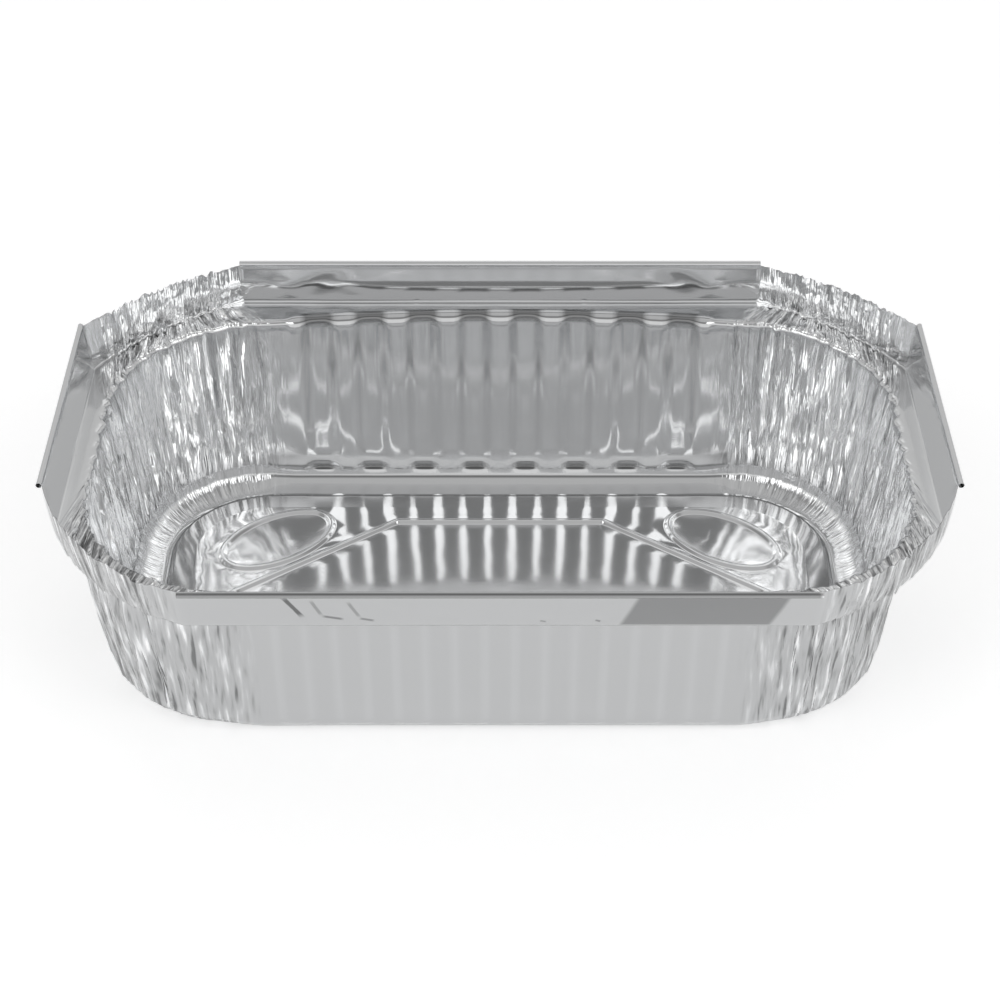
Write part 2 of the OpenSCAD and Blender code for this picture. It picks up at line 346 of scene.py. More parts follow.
@dataclass(frozen=True)
class CreaseStyle:
    """How the foil creases where it is gathered, in millimetres."""

    seed: int = 11
    pleats_per_corner: int = 30
    pleats_per_end: int = 10
    widest: float = 2.4
    narrowest: float = 1.0
    deepest: float = 0.6
    shallowest: float = 0.12
    wander: float = 1.1
    wall: tuple[Grain, ...] = (Grain(2.6, 26.0, 0.42), Grain(1.7, 12.0, 0.16))
    ledge: tuple[Grain, ...] = (Grain(2.2, 6.0, 0.6), Grain(2.0, 2.0, 0.28))
    upright: tuple[Grain, ...] = (Grain(5.2, 14.0, 0.22), Grain(3.4, 5.0, 0.08))
    at_foot: float = 0.4
    foot_share: float = 0.3
    edge_pitch: float = 3.6
    edge_depth: float = 0.75
    edge_share: float = 0.2
    zone_start: float = 6.0
    zone_ease: float = 13.0
    pleat_ease: float = 0.3
    pleat_base: float = 1.6
    sharpness: float = 3.2
    layer_step: float = 10.0
    ledge_layer: float = 0.0
    wall_layer: float = 3.0
    upright_layer: float = 5.0
    edge_layer: float = 40.0
    ledge_start: float = 0.3
    ledge_growth: float = 2.0
    upright_growth: float = 4.0


class Creases:
    """Random pleats down the corners and ends, and the crushed rim above them."""

    def __init__(self, columns: Columns, style: CreaseStyle) -> None:
        """Draws the pleats.

        Args:
            columns: The columns that the pleats run along.
            style: How many pleats there are, and how large.
        """
        self.columns = columns
        self.style = style
        rng = np.random.default_rng(style.seed)
        starts, reach, per_zone = [], [], []
        for s in Side:
            for corner in (False, True):
                zone = (columns.side == s) & (columns.corner == corner)
                if not corner and s in (Side.FRONT, Side.BACK):
                    continue
                starts.append(columns.run[zone][0])
                reach.append(np.ptp(columns.run[zone]))
                per_zone.append(style.pleats_per_corner if corner else style.pleats_per_end)
        count = int(sum(per_zone))
        self.middle = np.concatenate([
            a + r * rng.uniform(-0.02, 1.02, n) for a, r, n in zip(starts, reach, per_zone)
        ])
        self.width = rng.uniform(style.narrowest, style.widest, count)
        height = rng.uniform(style.shallowest, style.deepest, count)
        self.height = height * rng.choice([-1.0, 1.0, 1.0], count)
        self.low = rng.uniform(-0.25, 0.45, count)
        self.high = rng.uniform(0.55, 1.35, count)
        self.slant = rng.normal(0.0, style.wander, count)
        self.skew = rng.uniform(0.35, 0.65, count)
        self.zone_mask = self._gathered()

    def _gathered(self) -> np.ndarray:
        """1 in the corners and ends, easing to 0 where the long sides begin.

        Returns:
            One weight for each column.
        """
        columns = self.columns
        straight = columns.sizes.straight[0]
        arc = math.pi / 2.0 * columns.sizes.opening_radius
        in_bend = arc * np.where(columns.is_long, columns.place, 1.0 - columns.place)
        on_side = np.where(columns.is_long, np.abs(columns.place) * straight - straight, arc)
        into = np.where(columns.corner, in_bend, on_side)
        return smooth((into + self.style.zone_start) / self.style.zone_ease)

    def pleats(self, share: Amount) -> np.ndarray:
        """Outward shift of each column at a share of the wall's height, from foot to ledge.

        Args:
            share: Height as a share of the wall, for all columns or for each.

        Returns:
            One shift in millimetres for each column.
        """
        columns, style = self.columns, self.style
        share = np.broadcast_to(share, (columns.count,))
        up = share[:, None]
        centre = self.middle + self.slant * (up - 0.5)
        away = columns.run[:, None] - centre
        away = (away + columns.girth / 2.0) % columns.girth - columns.girth / 2.0
        t = away / self.width
        ridge = np.where(t < 0.0, 1.0 + t / self.skew, 1.0 - t / (style.pleat_base - self.skew))
        ridge = np.clip(ridge, 0.0, 1.0)
        taper = smooth((up - self.low) / style.pleat_ease) * smooth((self.high - up) / style.pleat_ease)
        pleated = (ridge * taper * self.height).sum(axis=1)
        folded = self.creased(share * columns.sizes.ledge_height, style.wall, style.wall_layer)
        settled = lerp(style.at_foot, 1.0, smooth(share / style.foot_share))
        return ((pleated + folded) * settled + self._edge_waves(share)) * self.zone_mask

    def _edge_waves(self, share: np.ndarray) -> np.ndarray:
        """Outward shift that makes the ledge's inner edge wavy."""
        style, columns = self.style, self.columns
        spots = columns.run / style.edge_pitch
        waves = np.array([noise.noise(Vector((x, style.edge_layer, 0.0))) for x in spots])
        return style.edge_depth * waves * smooth((share - (1.0 - style.edge_share)) / style.edge_share)

    def creased(self, down: Amount, grains: Sequence[Grain], layer: float) -> np.ndarray:
        """Depth of crushed foil at each column: sharp creases with soft foil between them.

        Args:
            down: Distance along each column, in millimetres.
            grains: The layers of creases that are added up.
            layer: Another number gives another pattern.

        Returns:
            One depth for each column.
        """
        down = np.broadcast_to(down, (self.columns.count,))
        total = np.zeros(self.columns.count)
        for i, grain in enumerate(grains):
            spots = zip(self.columns.run / grain.along, down / grain.down)
            place = self.style.layer_step * i + layer
            values = np.array([noise.noise(Vector((u, v, place))) for u, v in spots])
            total += grain.depth * (1.0 - self.style.sharpness * np.abs(values))
        return total


@dataclass(frozen=True)
class Dent:
    """A small dent in an upright, in millimetres and degrees, with its depth outwards."""

    side: Side
    along: float
    up: float
    length: float
    width: float
    depth: float
    slant: float

    def shift(self, along: np.ndarray, up: float) -> np.ndarray:
        """Outward shift of each point of a row at a height on the upright."""
        c, s = math.cos(math.radians(self.slant)), math.sin(math.radians(self.slant))
        x, y = along - self.along, up - self.up
        a, b = (x * c + y * s) / self.length, (-x * s + y * c) / self.width
        return self.depth * np.exp(-(a**2) - b**2)


@dataclass
class PanelEmbossing:
    """The raised hexagon of ribs and the four oval loops on the flat panel."""

    sizes: TraySizes
    rib_height: float = 0.6
    rib_width: float = 2.2
    rib_margin: float = 5.7
    point_margin: float = 10.0
    slant_run: float = 39.2
    loop_long: float = 15.0
    loop_short: float = 8.6
    loop_from_end: float = 19.6
    loop_from_edge: float = 12.7
    dish: float = 0.35
    dome: float = 0.35
    spacing: float = 0.85
    flank_slope: float = 1.35
    hollow_run: float = 5.0
    lanes: tuple[float, ...] = (-0.62, -0.42, -0.22, 0.0, 0.22, 0.42, 0.62)

    def _corners(self) -> list[np.ndarray]:
        """Corners of the hexagon, anticlockwise.

        Returns:
            The six corners in plan.
        """
        point = self.sizes.flat_half[0] - self.point_margin
        corner = np.array([point - self.slant_run, self.sizes.flat_half[1] - self.rib_margin])
        flip = np.array([-1.0, 1.0])
        return [
            np.array([point, 0.0]), corner, corner * flip,
            np.array([-point, 0.0]), -corner, -corner * flip,
        ]

    def _loops(self) -> list[tuple[np.ndarray, float]]:
        """Middle and turn of each loop."""
        middle = self.sizes.flat_half - np.array([self.loop_from_end, self.loop_from_edge])
        corner = self._corners()[1]
        tilt = -math.atan2(corner[1], self.slant_run)
        return [(middle * np.array([i, j]), tilt * i * j) for i in (1, -1) for j in (1, -1)]

    def _in_loop(self, xy: np.ndarray, loop: tuple[np.ndarray, float]) -> np.ndarray:
        """Distance of each point from a loop's crest, negative inside it.

        Args:
            xy: The points in plan.
            loop: The loop's middle and its turn.

        Returns:
            One distance in millimetres for each point.
        """
        middle, tilt = loop
        p = xy - middle
        c, s = math.cos(tilt), math.sin(tilt)
        q = np.c_[p[:, 0] * c + p[:, 1] * s, -p[:, 0] * s + p[:, 1] * c]
        axes = np.array([self.loop_long, self.loop_short])
        least_ratio, least_slope = 1e-6, 1e-3
        ratio = np.linalg.norm(q / axes, axis=1)
        slope = np.linalg.norm(q / axes**2, axis=1) / np.maximum(ratio, least_ratio)
        return (ratio - 1.0) / np.maximum(slope, least_slope)

    def height(self, xy: np.ndarray) -> np.ndarray:
        """Height of the embossed panel above its flat edge at each point.

        Args:
            xy: The points in plan.

        Returns:
            One height in millimetres for each point.
        """
        corners = self._corners()
        raised = np.zeros(len(xy))
        half = self.rib_width / 2.0
        for a, b in zip(corners, corners[1:] + corners[:1]):
            along = (b - a) / np.linalg.norm(b - a)
            t = np.clip((xy - a) @ along, 0.0, np.linalg.norm(b - a))
            away = np.linalg.norm(xy - (a + t[:, None] * along), axis=1)
            raised = np.maximum(raised, self.rib_height * smooth(self.flank_slope * (1.0 - away / half)))
        for loop in self._loops():
            away = self._in_loop(xy, loop)
            crest = self.rib_height * smooth(self.flank_slope * (1.0 - np.abs(away) / half))
            hollow = -self.dish * smooth((-away - half) / self.hollow_run)
            raised = np.where(np.abs(away) < half, np.maximum(raised, crest), raised + hollow)
        along, across = np.clip(1.0 - (xy / self.sizes.flat_half) ** 2, 0.0, 1.0).T
        return raised + self.dome * (along * across)

    def lines(self) -> list[np.ndarray]:
        """Polylines that the mesh follows: lanes along every rib and round every loop.

        Returns:
            The polylines in plan.
        """
        found = []
        corners = self._corners()
        for a, b in zip(corners, corners[1:] + corners[:1]):
            length = np.linalg.norm(b - a)
            along = (b - a) / length
            square = np.array([-along[1], along[0]])
            steps = np.linspace(0.0, 1.0, max(2, round(length / self.spacing)))[:, None]
            for lane in self.lanes:
                found.append(a + steps * (b - a) + square * lane * self.rib_width)
        for middle, tilt in self._loops():
            c, s = math.cos(tilt), math.sin(tilt)
            turn = np.array([[c, -s], [s, c]])
            count = round(2.0 * math.pi * math.sqrt(self.loop_long * self.loop_short) / self.spacing)
            angle = np.linspace(0.0, 2.0 * math.pi, count)
            for lane in self.lanes:
                axes = np.array([self.loop_long, self.loop_short]) + lane * self.rib_width
                oval = axes * np.c_[np.cos(angle), np.sin(angle)]
                found.append(oval @ turn.T + middle)
        return found


@dataclass
class FoilTray:
    """The whole tray: one sheet of foil, from the panel of the base to the rolled hems."""

    sizes: TraySizes = field(default_factory=TraySizes)
    style: CreaseStyle = field(default_factory=CreaseStyle)
    dents: tuple[Dent, ...] = (
        Dent(Side.FRONT, -44.5, 7.0, 4.2, 1.3, -0.34, -40.0),
        Dent(Side.FRONT, -34.5, 6.5, 4.5, 1.3, -0.3, -35.0),
        Dent(Side.FRONT, -28.0, 9.0, 3.0, 1.2, -0.2, -30.0),
        Dent(Side.FRONT, -22.0, 6.0, 4.0, 1.4, -0.22, -25.0),
        Dent(Side.FRONT, -12.0, 4.0, 3.0, 1.6, -0.16, -20.0),
        Dent(Side.FRONT, 9.0, 2.2, 2.4, 1.2, -0.3, 0.0),
        Dent(Side.FRONT, 20.0, 2.2, 2.4, 1.2, -0.3, 10.0),
        Dent(Side.BACK, -45.0, 7.5, 5.0, 2.2, 0.4, 30.0),
        Dent(Side.BACK, -53.0, 5.5, 4.0, 1.8, -0.4, -20.0),
        Dent(Side.BACK, 44.0, 7.0, 5.0, 2.2, 0.4, -30.0),
        Dent(Side.BACK, 54.0, 6.0, 3.5, 1.8, -0.4, 20.0),
        Dent(Side.BACK, 37.0, 5.0, 4.0, 1.5, 0.25, 20.0),
    )
    long_steps: int = 120
    corner_steps: int = 76
    end_steps: int = 42
    pocket_rows: int = 8
    wall_rows: int = 22
    ledge_rows: int = 7
    upright_rows: int = 9
    hem_rows: int = 7
    panel_grid: float = 2.2
    grid_from_lines: float = 0.45
    grid_from_edge: float = 0.6
    dent_end: int = 6
    smooth_angle: float = 60.0
    lobe_rows: tuple[int, int] = (-3, 2)
    lobe_gain: float = 1.4
    ledge_crumple: float = 0.9
    upright_crumple: float = 0.3
    streaked_bend_rows: int = 5
    ledge_streaks: tuple[float, float] = (6.0, 4.5)
    upright_streaks: float = 1.0
    # Weights of painted shading: painted shade along the panel's edge, the foot bend, the flute flanks, the
    # back pockets, the lobes and the front hem's roll; painted light where a weight is negative, on the
    # gathered walls and the front corners' rim.
    border_painted_shades: tuple[tuple[float, float], ...] = ((0.0, 0.1), (0.0, 0.3), (0.05, 0.42), (0.6, 0.6))
    foot_line_painted_shade: float = 0.3
    flank_painted_shade: float = 0.07
    gather_painted_light: float = -0.07
    pocket_painted_shades: tuple[float, ...] = (0.0, 0.6, 0.75, 0.75, 0.7, 0.4)
    lobe_painted_shade: float = 0.7
    rim_painted_shading: tuple[float, float] = (-0.1, 0.04)
    hem_painted_shadow: tuple[float, ...] = (0.0, 0.45, 0.85, 0.85, 0.5, 0.15, 0.0)

    def __post_init__(self) -> None:
        """Works out the columns, the creases and the embossing."""
        self.columns = Columns(self.sizes, self.long_steps, self.corner_steps, self.end_steps)
        self.creases = Creases(self.columns, self.style)
        self.embossing = PanelEmbossing(self.sizes)

    def _raised(self, xy: np.ndarray, z: Amount) -> np.ndarray:
        """Points of a row from their plan and height."""
        return np.c_[xy, np.broadcast_to(z, (self.columns.count,))]

    def _base_row(self, inset: float, z: Amount, wave: float) -> np.ndarray:
        """Row of the base at a distance inside the foot's outline."""
        sizes, columns = self.sizes, self.columns
        xy = columns.outline(sizes.foot_half - inset, sizes.foot_radius - inset, 0.0)
        push = wave * (columns.pushed(0.0) + self.creases.pleats(0.0))
        return self._raised(xy + columns.outwards * push[:, None], z)

    def _wall_row(
        self, z: Amount, push: Amount = 0.0, recess: Amount = 1.0
    ) -> np.ndarray:
        """Row of the wall at a height above the table.

        Args:
            z: Height, for all columns or for each.
            push: How far the row is moved outwards.
            recess: Share of their full depth that the flutes have here.

        Returns:
            One point for each column.
        """
        sizes, columns = self.sizes, self.columns
        t = np.broadcast_to(z / sizes.ledge_height, (columns.count,))
        xy = columns.outline(
            lerp(sizes.foot_half, sizes.open_half, t[:, None]),
            lerp(sizes.foot_radius, sizes.opening_radius, t),
            sizes.belly * t,
        )
        fluting = recess * sizes.flute_depth * columns.fluted()
        out = push + columns.pushed(t) + fluting + self.creases.pleats(t)
        return self._raised(xy + columns.outwards * out[:, None], z)

    def _base_rows(self) -> list[np.ndarray]:
        """Rows from the edge of the flat panel to the top of the bend at the foot.

        Returns:
            The rows, inner one first.
        """
        sizes = self.sizes
        panel, lip, ring = sizes.panel_rise + sizes.foil, sizes.panel_step + sizes.foil, sizes.foil
        soft, step_end = sizes.lip_round, sizes.panel_inset - sizes.step_run
        profile = (
            (sizes.flat_inset, panel),
            (sizes.flat_inset - sizes.edge_round, lerp(panel, lip, sizes.edge_drop)),
            (sizes.panel_inset + sizes.border_edge, lerp(lip, panel, sizes.border_lift)),
            (sizes.panel_inset + soft, lip + sizes.border_crown),
            (sizes.panel_inset - soft, lip - sizes.step_soft),
            (step_end + soft, ring + sizes.step_soft),
            (step_end - soft, ring),
        )
        rows = [self._base_row(inset, z, 0.0) for inset, z in profile]
        bend = self._foot_bend()
        for degrees in sizes.foot_angles:
            a = math.radians(degrees)
            inset = sizes.foot_reach * (1.0 - math.sin(a))
            rise = lerp(1.0 - math.cos(a), math.sin(a), sizes.foot_dish)
            rows.append(self._base_row(inset, ring + bend * rise, math.sin(a) ** 2))
        return rows

    def _foot_bend(self) -> np.ndarray:
        """Height of the bend at the foot, larger in the corners and ends."""
        return self.sizes.foot_bend + self.sizes.foot_ease * self.creases.zone_mask

    def _wall_rows(self) -> list[np.ndarray]:
        """Rows of the wall and of the bend up to the ledge's inner edge.

        Returns:
            The rows, lowest one first.
        """
        sizes, columns = self.sizes, self.columns
        start = self._foot_bend() + sizes.foil + sizes.flute_start
        bend = sizes.ledge_bend + sizes.scoop * columns.between_flutes()
        top = sizes.ledge_height - bend
        rises = sizes.flute_rises[:self.pocket_rows]
        rows = [self._wall_row(start + rise, 0.0, np.interp(rise, sizes.flute_rises, sizes.flute_recess))
                for rise in rises]
        low = start + rises[-1]
        for t in np.linspace(0.0, 1.0, self.wall_rows + 1)[1:]:
            z = lerp(low, top, t)
            recess = np.interp(z - start, sizes.flute_rises, sizes.flute_recess)
            rows.append(self._wall_row(z, 0.0, recess))
        for degrees in sizes.ledge_angles:
            a = math.radians(degrees)
            rows.append(self._wall_row(top + bend * math.sin(a), bend * (1.0 - math.cos(a))))
        return rows

    def _knee(self, t: float) -> float:
        """Share of the knee's depth at a share of the upright's height."""
        peak = self.sizes.knee_share
        soft = self.sizes.knee_soft
        away = (peak - t) / peak if t < peak else (t - peak) / (1.0 - peak)
        return 1.0 + soft / 2.0 - math.hypot(away, soft)

    def _rim_rows(self) -> list[np.ndarray]:
        """Rows of the ledge and the upright, with their crushed corners.

        Returns:
            The rows, inner one first.
        """
        sizes, columns, style = self.sizes, self.columns, self.style
        bend = sizes.ledge_bend + sizes.scoop * columns.between_flutes()
        inner = self._wall_row(sizes.ledge_height, bend)
        fold = self._raised(columns.fold_line(), sizes.ledge_height - columns.shared(sizes.droop))
        weight = columns.in_corner
        span = np.linalg.norm(fold - inner, axis=1)
        up = np.array([0.0, 0.0, 1.0])
        rows = []
        for t in np.linspace(0.0, 1.0, self.ledge_rows + 1):
            grown = min(1.0, style.ledge_start + style.ledge_growth * t)
            crush = self.creases.creased(span * t, style.ledge, style.ledge_layer) * weight * grown
            rows.append(lerp(inner, fold, t) + crush[:, None] * up)
        fold = rows.pop()
        tilt = columns.shared(sizes.lean)
        rise, out = columns.square_to(90.0 - tilt), columns.square_to(-tilt)
        back = (rows[-1] - fold) / np.linalg.norm(rows[-1] - fold, axis=1)[:, None]
        for t in sizes.fold_steps:
            rows.append(fold + sizes.fold_bend * (back * (1.0 - t) ** 2 + rise * t**2))
        height = sizes.upright - sizes.raw_drop * weight
        knee = columns.shared(sizes.knee)
        along = columns.place * np.array(sizes.hem_length)[columns.side] / 2.0
        first = sizes.fold_bend / sizes.upright
        for t in np.linspace(first, 1.0, self.upright_rows + 1)[1:]:
            crush = self.creases.creased(sizes.upright * t, style.upright, style.upright_layer)
            bend_out = crush * weight * min(1.0, style.upright_growth * t) + knee * self._knee(t)
            for dent in self.dents:
                here = (columns.side == dent.side) & ~columns.corner
                bend_out = bend_out + here * dent.shift(along, sizes.upright * t) * (1.0 - t**self.dent_end)
            rows.append(fold + rise * (height * t)[:, None] + out * bend_out[:, None])
        return rows

    def _hem_rows(self, top: np.ndarray) -> list[np.ndarray]:
        """Rows of the rolled hem, from the top of the upright round to its free edge.

        Args:
            top: The upright's top row.

        Returns:
            The rows, from the upright outwards.
        """
        sizes, columns = self.sizes, self.columns
        tilt = columns.shared(sizes.lean)
        rise, out = columns.square_to(90.0 - tilt), columns.square_to(-tilt)
        rows = []
        for step in range(1, self.hem_rows + 1):
            a = math.radians(sizes.hem_turn * step / self.hem_rows)
            way = out * math.cos(a) - rise * math.sin(a)
            rows.append(top + sizes.hem_radius * (out - way))
        return rows

    def _blank_places(self, rows: list[np.ndarray]) -> list[np.ndarray]:
        """Where each vertex lay on the flat blank, so that the rolling grain follows the sheet.

        Args:
            rows: The rows of points, from the panel's edge to the hem's free edge.

        Returns:
            A place in plan for each vertex of each row.
        """
        outwards = self.columns.outwards
        places = [rows[0][:, :2]]
        for before, row in zip(rows, rows[1:]):
            step = np.median(np.linalg.norm(row - before, axis=1))
            places.append(places[-1] + outwards * step)
        return places

    def _press_blank(self) -> bpy.types.Object:
        """Makes the flat blank and moves its vertices to their places on the tray.

        Returns:
            The pressed sheet.
        """
        columns = self.columns
        rows = self._base_rows() + self._wall_rows() + self._rim_rows()
        upright_top = len(rows) - 1
        rows += self._hem_rows(rows[-1])
        blank = self._blank_places(rows)
        bpy.ops.mesh.primitive_grid_add(
            x_subdivisions=columns.count, y_subdivisions=len(rows) - 1, size=1.0, calc_uvs=False
        )
        sheet = bpy.context.object
        mesh = sheet.data
        closed = [np.r_[row, row[:1]] for row in rows]
        places = np.concatenate(closed)
        mesh.vertices.foreach_set("co", (places * MM).ravel())
        flat = np.concatenate([np.r_[b, b[:1]] for b in blank])
        self._write_map(mesh, BLANK_MAP, flat)
        self._write_map(mesh, GATHER_MAP, self._gather_places(rows))
        rim_start = len(self._base_rows()) + len(self._wall_rows())
        count = len(rows)
        self._write_mask(mesh, CRUMPLE_MASK, self._crumple_weights(count, rim_start))
        self._write_mask(mesh, GATHER_MASK, self._streak_weights(count, rim_start))
        self._write_mask(mesh, PAINTED_SHADING_MASK, self._painted_shading_weights(count, rim_start, upright_top))
        column = np.tile(np.arange(columns.count), len(rows) - 1)
        row_index = np.repeat(np.arange(len(rows) - 1), columns.count)
        raw = (row_index >= upright_top) & columns.corner[column]
        self._select_faces(mesh, raw)
        bpy.ops.object.mode_set(mode="EDIT")
        bpy.ops.mesh.delete(type="FACE")
        bpy.ops.object.mode_set(mode="OBJECT")
        return sheet

    def _crumple_weights(self, count: int, rim_start: int) -> list[np.ndarray]:
        """How crumpled the foil is: most on the ledge of the corners."""
        weights = [0.0 * self.columns.in_corner] * count
        for i in range(rim_start, count):
            on_ledge = i < rim_start + self.ledge_rows
            weights[i] = self.columns.in_corner * (self.ledge_crumple if on_ledge else self.upright_crumple)
        return weights

    def _streak_weights(self, count: int, rim_start: int) -> list[np.ndarray]:
        """How strong the streaks are, both their bumps and the painted highlights and shade along them: on
        gathered walls, and most on the front corners' ledge.

        Args:
            count: Number of rows.
            rim_start: Place of the ledge's first row.

        Returns:
            One weight for each column of each row.
        """
        columns = self.columns
        weights = [0.0 * columns.in_corner] * count
        for i in range(len(self._base_rows()) - self.streaked_bend_rows, rim_start):
            weights[i] = self.creases.zone_mask
        ledge = np.where(columns.outwards[:, 1] < 0.0, self.ledge_streaks[0], self.ledge_streaks[1])
        for i in range(rim_start, count):
            on_ledge = i < rim_start + self.ledge_rows
            weights[i] = columns.in_corner * (ledge if on_ledge else self.upright_streaks)
        return weights

    def _painted_shading_weights(self, count: int, rim_start: int, upright_top: int) -> list[np.ndarray]:
        """How much painted shade darkens the foil, or painted light brightens it where a weight is negative.

        Args:
            count: Number of rows.
            rim_start: Place of the ledge's first row.
            upright_top: Place of the upright's top row.

        Returns:
            One weight for each column of each row.
        """
        columns = self.columns
        first_wall = len(self._base_rows())
        fluted, ends = columns.fluted(), self.creases.zone_mask
        flank = FLANK_PEAK * fluted * (1.0 - fluted)
        at_back = columns.side == Side.BACK
        in_front = (columns.side == Side.FRONT) & ~columns.corner
        weights = [0.0 * fluted] * count
        # Painted shade along the edge of the panel.
        for i, (long_side, end) in enumerate(self.border_painted_shades):
            weights[i] = lerp(long_side, end, ends)
        # Painted shade along the bend at the foot.
        foot_line = first_wall - 2
        weights[foot_line] = self.foot_line_painted_shade * (1.0 - ends)
        # Painted shade on the flute flanks, and painted light on the gathered walls.
        for i in range(first_wall, rim_start):
            weights[i] = self.flank_painted_shade * flank + self.gather_painted_light * ends
        # Painted shade in the pockets at the foot of the back flutes.
        for i, weight in enumerate(self.pocket_painted_shades):
            weights[first_wall + i] = weight * fluted**2 * at_back
        # Painted shade in the lobes at the ledge's inner edge over the flutes.
        lobe = self.lobe_painted_shade * np.minimum(1.0, self.lobe_gain * fluted)
        first_lobe, past_lobes = (rim_start + step for step in self.lobe_rows)
        for i in range(first_lobe, past_lobes):
            weights[i] = lobe
        # Painted light on the front corners' crushed rim, and painted shade on the back ones.
        rim_shading = np.where(columns.outwards[:, 1] < 0.0, self.rim_painted_shading[0], self.rim_painted_shading[1])
        for i in range(past_lobes, upright_top + 1):
            weights[i] = columns.in_corner * rim_shading
        # Painted shadow on the underside of the front hem's roll.
        for i, weight in enumerate(self.hem_painted_shadow):
            weights[upright_top + 1 + i] = weight * in_front
        return weights

    def _gather_places(self, rows: list[np.ndarray]) -> np.ndarray:
        """Place of each vertex along the girth and down its column, with the wrap in the front's middle.

        Args:
            rows: The rows of points, from the panel's edge to the hem's free edge.

        Returns:
            One place in millimetres for each vertex, row after row.
        """
        columns = self.columns
        middle = columns.run[self.long_steps // 2]
        along = (columns.run - middle) % columns.girth
        down = np.zeros(columns.count)
        places = []
        for before, row in zip(rows[:1] + rows, rows):
            down = down + np.linalg.norm(row - before, axis=1)
            place = np.c_[along, down]
            places.append(np.r_[place, place[:1]])
        return np.concatenate(places)

    @staticmethod
    def _write_mask(mesh: bpy.types.Mesh, name: str, rows: list[np.ndarray]) -> None:
        """Stores a weight from 0 to 1 for each vertex of the closed rows."""
        weight = np.concatenate([np.r_[row, row[:1]] for row in rows])
        mask = mesh.attributes.new(name, "FLOAT", "POINT")
        mask.data.foreach_set("value", weight.astype(np.float32))

    @staticmethod
    def _write_map(mesh: bpy.types.Mesh, name: str, places: np.ndarray) -> None:
        """Stores each vertex's place, given in millimetres, as a UV map in metres."""
        uv = mesh.uv_layers.get(name) or mesh.uv_layers.new(name=name)
        corner = np.empty(len(mesh.loops), np.int32)
        mesh.loops.foreach_get("vertex_index", corner)
        uv.data.foreach_set("uv", (places[corner] * MM).astype(np.float32).ravel())

    @staticmethod
    def _select_faces(mesh: bpy.types.Mesh, chosen: np.ndarray) -> None:
        """Selects only the chosen faces."""
        mesh.vertices.foreach_set("select", np.zeros(len(mesh.vertices), bool))
        mesh.edges.foreach_set("select", np.zeros(len(mesh.edges), bool))
        mesh.polygons.foreach_set("select", chosen)

    def _panel(self) -> bpy.types.Object:
        """Makes the flat panel of the base, meshed along its ribs and loops.

        Returns:
            The panel.
        """
        sizes, columns = self.sizes, self.columns
        edge = columns.outline(sizes.flat_half, sizes.foot_radius - sizes.flat_inset, 0.0)
        points, edges = [Vector(p) for p in edge], []
        edges += [(i, (i + 1) % len(edge)) for i in range(len(edge))]
        lines = self.embossing.lines()
        for line in lines:
            first = len(points)
            points += [Vector(p) for p in line]
            edges += [(first + i, first + i + 1) for i in range(len(line) - 1)]
        near = np.concatenate(lines)
        grid = self.panel_grid
        for j, y in enumerate(np.arange(-sizes.flat_half[1] + grid, sizes.flat_half[1], grid)):
            for x in np.arange(-sizes.flat_half[0] + grid * (0.5 + 0.5 * (j % 2)), sizes.flat_half[0], grid):
                here = np.array([x, y])
                if np.linalg.norm(near - here, axis=1).min() < grid * self.grid_from_lines:
                    continue
                if np.linalg.norm(edge - here, axis=1).min() < grid * self.grid_from_edge:
                    continue
                points.append(Vector(here))
        ring, only_inside, closest = list(range(len(edge))), 1, 1e-4
        found, _, faces, *_ = geometry.delaunay_2d_cdt(points, edges, [ring], only_inside, closest)
        xy = np.array([tuple(p) for p in found])
        z = sizes.panel_rise + sizes.foil + self.embossing.height(xy)
        mesh = bpy.data.meshes.new("panel")
        mesh.from_pydata((np.c_[xy, z] * MM).tolist(), [], faces)
        self._write_map(mesh, BLANK_MAP, xy)
        self._write_map(mesh, GATHER_MAP, xy)
        for name in (CRUMPLE_MASK, GATHER_MASK, PAINTED_SHADING_MASK):
            mesh.attributes.new(name, "FLOAT", "POINT")
        panel = bpy.data.objects.new("panel", mesh)
        bpy.context.collection.objects.link(panel)
        return panel

    def build(self) -> bpy.types.Object:
        """Presses the sheet, fills in its panel and gives it the gauge of the foil.

        Returns:
            The finished tray.
        """
        bpy.ops.object.select_all(action="DESELECT")
        tray = self._press_blank()
        panel = self._panel()
        bpy.ops.object.select_all(action="DESELECT")
        panel.select_set(True)
        tray.select_set(True)
        bpy.context.view_layer.objects.active = tray
        bpy.ops.object.join()
        tray.name = tray.data.name = "foil_tray"
        self._weld(tray)
        tray.data.transform(Matrix.Translation((0.0, self.sizes.centring * MM, 0.0)))
        tray.data.materials.clear()
        gauge = tray.modifiers.new("gauge", "SOLIDIFY")
        gauge.thickness = self.sizes.foil * MM
        gauge.offset = -1.0
        gauge.material_offset = 1
        gauge.material_offset_rim = 1
        return tray

    @staticmethod
    def _weld(tray: bpy.types.Object) -> None:
        """Joins the panel to the pressed sheet and points every face at the food side.

        Args:
            tray: The pressed sheet with the panel in its mesh.
        """
        sheet = bmesh.new()
        sheet.from_mesh(tray.data)
        bmesh.ops.delete(sheet, geom=[v for v in sheet.verts if not v.link_faces], context="VERTS")
        weld_reach = 0.01 * MM
        bmesh.ops.remove_doubles(sheet, verts=sheet.verts, dist=weld_reach)
        bmesh.ops.recalc_face_normals(sheet, faces=sheet.faces)
        sheet.faces.ensure_lookup_table()
        middle = min(sheet.faces, key=lambda f: f.calc_center_median().length)
        if middle.normal.z < 0.0:
            bmesh.ops.reverse_faces(sheet, faces=sheet.faces)
        sheet.to_mesh(tray.data)
        sheet.free()


